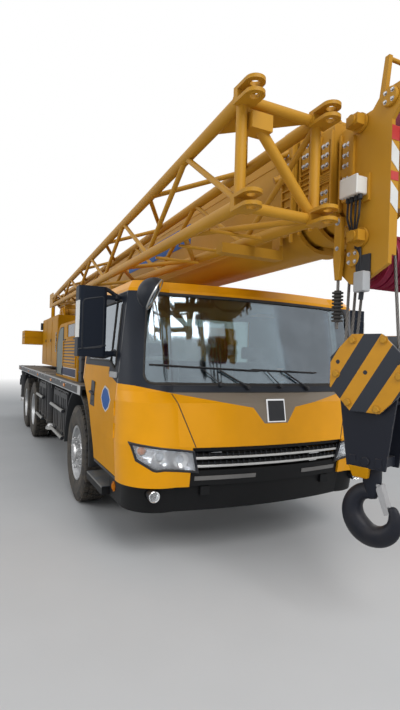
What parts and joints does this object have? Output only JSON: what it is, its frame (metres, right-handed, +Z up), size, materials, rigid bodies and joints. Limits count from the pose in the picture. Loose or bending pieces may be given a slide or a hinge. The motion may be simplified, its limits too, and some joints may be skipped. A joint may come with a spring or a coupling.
{
  "type": "truck crane",
  "caption": "Mobile truck crane with a low full-width cab, telescopic boom over it, side-stowed lattice jib, hook block, outriggers and a slewing upper.",
  "frame": {"origin": "ground level below the middle of the crane's length and width", "axes": "+X forward, +Y to the driver's left, +Z up"},
  "size_m": [11.345, 3.07, 3.345],
  "materials": {
    "yellow_paint": "satin",
    "black_paint": "satin",
    "grey_paint": "satin",
    "chassis_black": "satin",
    "steel": "machined",
    "rod_chrome": "polished",
    "cast_iron": "rough",
    "wheel_silver": "satin",
    "tyre": "matte",
    "glass": "clear",
    "lamp_lens": "clear",
    "black_plastic": "grained",
    "trim_grey": "grained",
    "seat_fabric": "woven",
    "rope_steel": "greased wire"
  },
  "bodies": {
    "chassis": {"frame": "chassis_black", "deck": "chassis_black", "bumper": "black_plastic", "cab_shell": "yellow_paint", "cab_front": "yellow_paint", "cab_glass": "glass", "lamps": "lamp_lens", "corner_mirror": "black_plastic", "dashboard": "black_plastic", "cab_seats": "seat_fabric", "axles": "chassis_black", "engine": "cast_iron", "engine_hood": "yellow_paint", "side_boxes": "chassis_black"},
    "knuckle_right": {"knuckle_right": "cast_iron"},
    "knuckle_left": {"knuckle_left": "cast_iron"},
    "cab_door_right": {"door_right": "yellow_paint", "door_glass_right": "glass"},
    "cab_door_left": {"door_left": "yellow_paint", "door_glass_left": "glass"},
    "upper": {"turntable": "yellow_paint", "counterweight": "yellow_paint", "operator_cab": "yellow_paint", "operator_glass": "glass"},
    "operator_door": {"operator_door": "yellow_paint"},
    "winch": {"winch_drum": "cast_iron"},
    "luff_barrel": {"luff_barrel": "yellow_paint"},
    "luff_rod": {"luff_rod": "rod_chrome"},
    "boom_1": {"boom_1": "yellow_paint", "jib": "yellow_paint"},
    "boom_2": {"boom_2": "yellow_paint"},
    "boom_3": {"boom_3": "yellow_paint"},
    "boom_4": {"boom_4": "yellow_paint"},
    "boom_5": {"boom_5": "yellow_paint"},
    "load_sheaves": {"load_sheaves": "cast_iron"},
    "guide_sheaves": {"guide_sheaves": "cast_iron"},
    "rope_falls": {"rope_falls": "rope_steel"},
    "dead_end": {"dead_end": "steel"},
    "hook_block": {"hook_block": "yellow_paint"},
    "hook": {"hook": "cast_iron"},
    "wheel_front_right": {"rim_front_right": "wheel_silver", "tyre_front_right": "tyre"},
    "wheel_middle_right": {"rim_middle_right": "wheel_silver", "tyre_middle_right": "tyre"},
    "wheel_rear_right": {"rim_rear_right": "wheel_silver", "tyre_rear_right": "tyre"},
    "beam_front_right": {"outrigger_front_right": "yellow_paint"},
    "jack_front_right": {"jack_front_right": "grey_paint"},
    "beam_rear_right": {"outrigger_rear_right": "yellow_paint"},
    "jack_rear_right": {"jack_rear_right": "grey_paint"},
    "wheel_front_left": {"rim_front_left": "wheel_silver", "tyre_front_left": "tyre"},
    "wheel_middle_left": {"rim_middle_left": "wheel_silver", "tyre_middle_left": "tyre"},
    "wheel_rear_left": {"rim_rear_left": "wheel_silver", "tyre_rear_left": "tyre"},
    "beam_front_left": {"outrigger_front_left": "yellow_paint"},
    "jack_front_left": {"jack_front_left": "grey_paint"},
    "beam_rear_left": {"outrigger_rear_left": "yellow_paint"},
    "jack_rear_left": {"jack_rear_left": "grey_paint"}
  },
  "joints": [
    {"name": "steer_right", "type": "hinge", "parent": "chassis", "child": "knuckle_right", "pos_m": [1.9275, -0.88, 0.535], "axis": [0, 0, 1], "range_deg": [-35, 35]},
    {"name": "wheel_front_right_spin", "type": "hinge", "parent": "knuckle_right", "child": "wheel_front_right", "pos_m": [1.9275, -1.08, 0.535], "axis": [0, 1, 0], "continuous": true},
    {"name": "wheel_middle_right_spin", "type": "hinge", "parent": "chassis", "child": "wheel_middle_right", "pos_m": [-2.4225, -1.08, 0.535], "axis": [0, 1, 0], "continuous": true},
    {"name": "wheel_rear_right_spin", "type": "hinge", "parent": "chassis", "child": "wheel_rear_right", "pos_m": [-3.7725, -1.08, 0.535], "axis": [0, 1, 0], "continuous": true},
    {"name": "cab_door_right", "type": "hinge", "parent": "chassis", "child": "cab_door_right", "pos_m": [3.6245, -1.25, 1.2], "axis": [0, 0, 1], "range_deg": [0, 70]},
    {"name": "beam_front_right_out", "type": "slide", "parent": "chassis", "child": "beam_front_right", "axis": [0, -1, 0], "range_m": [0, 1.7]},
    {"name": "jack_front_right_down", "type": "slide", "parent": "beam_front_right", "child": "jack_front_right", "axis": [0, 0, -1], "range_m": [0, 0.5]},
    {"name": "beam_rear_right_out", "type": "slide", "parent": "chassis", "child": "beam_rear_right", "axis": [0, -1, 0], "range_m": [0, 1.7]},
    {"name": "jack_rear_right_down", "type": "slide", "parent": "beam_rear_right", "child": "jack_rear_right", "axis": [0, 0, -1], "range_m": [0, 0.5]},
    {"name": "steer_left", "type": "hinge", "parent": "chassis", "child": "knuckle_left", "pos_m": [1.9275, 0.88, 0.535], "axis": [0, 0, 1], "range_deg": [-35, 35]},
    {"name": "wheel_front_left_spin", "type": "hinge", "parent": "knuckle_left", "child": "wheel_front_left", "pos_m": [1.9275, 1.08, 0.535], "axis": [0, 1, 0], "continuous": true},
    {"name": "wheel_middle_left_spin", "type": "hinge", "parent": "chassis", "child": "wheel_middle_left", "pos_m": [-2.4225, 1.08, 0.535], "axis": [0, 1, 0], "continuous": true},
    {"name": "wheel_rear_left_spin", "type": "hinge", "parent": "chassis", "child": "wheel_rear_left", "pos_m": [-3.7725, 1.08, 0.535], "axis": [0, 1, 0], "continuous": true},
    {"name": "cab_door_left", "type": "hinge", "parent": "chassis", "child": "cab_door_left", "pos_m": [3.6245, 1.25, 1.2], "axis": [0, 0, 1], "range_deg": [-70, 0]},
    {"name": "beam_front_left_out", "type": "slide", "parent": "chassis", "child": "beam_front_left", "axis": [0, 1, 0], "range_m": [0, 1.7]},
    {"name": "jack_front_left_down", "type": "slide", "parent": "beam_front_left", "child": "jack_front_left", "axis": [0, 0, -1], "range_m": [0, 0.5]},
    {"name": "beam_rear_left_out", "type": "slide", "parent": "chassis", "child": "beam_rear_left", "axis": [0, 1, 0], "range_m": [0, 1.7]},
    {"name": "jack_rear_left_down", "type": "slide", "parent": "beam_rear_left", "child": "jack_rear_left", "axis": [0, 0, -1], "range_m": [0, 0.5]},
    {"name": "slew", "type": "hinge", "parent": "chassis", "child": "upper", "pos_m": [-3.0225, 0, 1.3], "axis": [0, 0, 1], "continuous": true},
    {"name": "operator_door_slide", "type": "slide", "parent": "upper", "child": "operator_door", "axis": [-1, 0, 0], "range_m": [0, 0.62]},
    {"name": "winch_spin", "type": "hinge", "parent": "upper", "child": "winch", "pos_m": [-4.4825, 0, 1.96], "axis": [0, 1, 0], "continuous": true},
    {"name": "boom_luff", "type": "hinge", "parent": "upper", "child": "boom_1", "pos_m": [-4.2725, 0, 2.64], "axis": [0, -1, 0], "range_deg": [0, 80]},
    {"name": "cylinder_swing", "type": "hinge", "parent": "upper", "child": "luff_barrel", "pos_m": [-3.3725, 0, 1.62], "axis": [0, -1, 0], "range_deg": [0, 75.15]},
    {"name": "cylinder_extend", "type": "slide", "parent": "luff_barrel", "child": "luff_rod", "axis": [0.9697, 0, 0.2442], "range_m": [0, 1.7244]},
    {"name": "telescope_2", "type": "slide", "parent": "boom_1", "child": "boom_2", "axis": [1, 0, 0], "range_m": [0, 6.9]},
    {"name": "telescope_3", "type": "slide", "parent": "boom_2", "child": "boom_3", "axis": [1, 0, 0], "range_m": [0, 6.9]},
    {"name": "telescope_4", "type": "slide", "parent": "boom_3", "child": "boom_4", "axis": [1, 0, 0], "range_m": [0, 6.9]},
    {"name": "telescope_5", "type": "slide", "parent": "boom_4", "child": "boom_5", "axis": [1, 0, 0], "range_m": [0, 6.9]},
    {"name": "load_sheaves_spin", "type": "hinge", "parent": "boom_5", "child": "load_sheaves", "pos_m": [5.2375, 0, 2.27], "axis": [0, 1, 0], "continuous": true},
    {"name": "guide_sheaves_spin", "type": "hinge", "parent": "boom_5", "child": "guide_sheaves", "pos_m": [5.4775, 0, 3.1], "axis": [0, 1, 0], "continuous": true},
    {"name": "falls_plumb", "type": "hinge", "parent": "boom_5", "child": "rope_falls", "pos_m": [5.2375, -0.1, 2.27], "axis": [0, -1, 0], "range_deg": [-80, 0]},
    {"name": "dead_end_plumb", "type": "hinge", "parent": "boom_5", "child": "dead_end", "pos_m": [5.1375, -0.32, 2.5], "axis": [0, -1, 0], "range_deg": [-80, 0]},
    {"name": "hoist", "type": "slide", "parent": "rope_falls", "child": "hook_block", "axis": [0, 0, 1], "range_m": [-0.45, 0.15]},
    {"name": "hook_swivel", "type": "hinge", "parent": "hook_block", "child": "hook", "pos_m": [5.2375, -0.1, 0.745], "axis": [0, 0, 1], "continuous": true}
  ],
  "couplings": [
    {"joint": "steer_left", "follows": "steer_right", "ratio": 1},
    {"joint": "cylinder_swing", "follows": "boom_luff", "ratio": 0.93877},
    {"joint": "cylinder_extend", "follows": "boom_luff", "m_per_rad": 1.2335},
    {"joint": "falls_plumb", "follows": "boom_luff", "ratio": -1},
    {"joint": "dead_end_plumb", "follows": "boom_luff", "ratio": -1},
    {"joint": "telescope_3", "follows": "telescope_2", "ratio": 1},
    {"joint": "telescope_4", "follows": "telescope_2", "ratio": 1},
    {"joint": "telescope_5", "follows": "telescope_2", "ratio": 1}
  ]
}
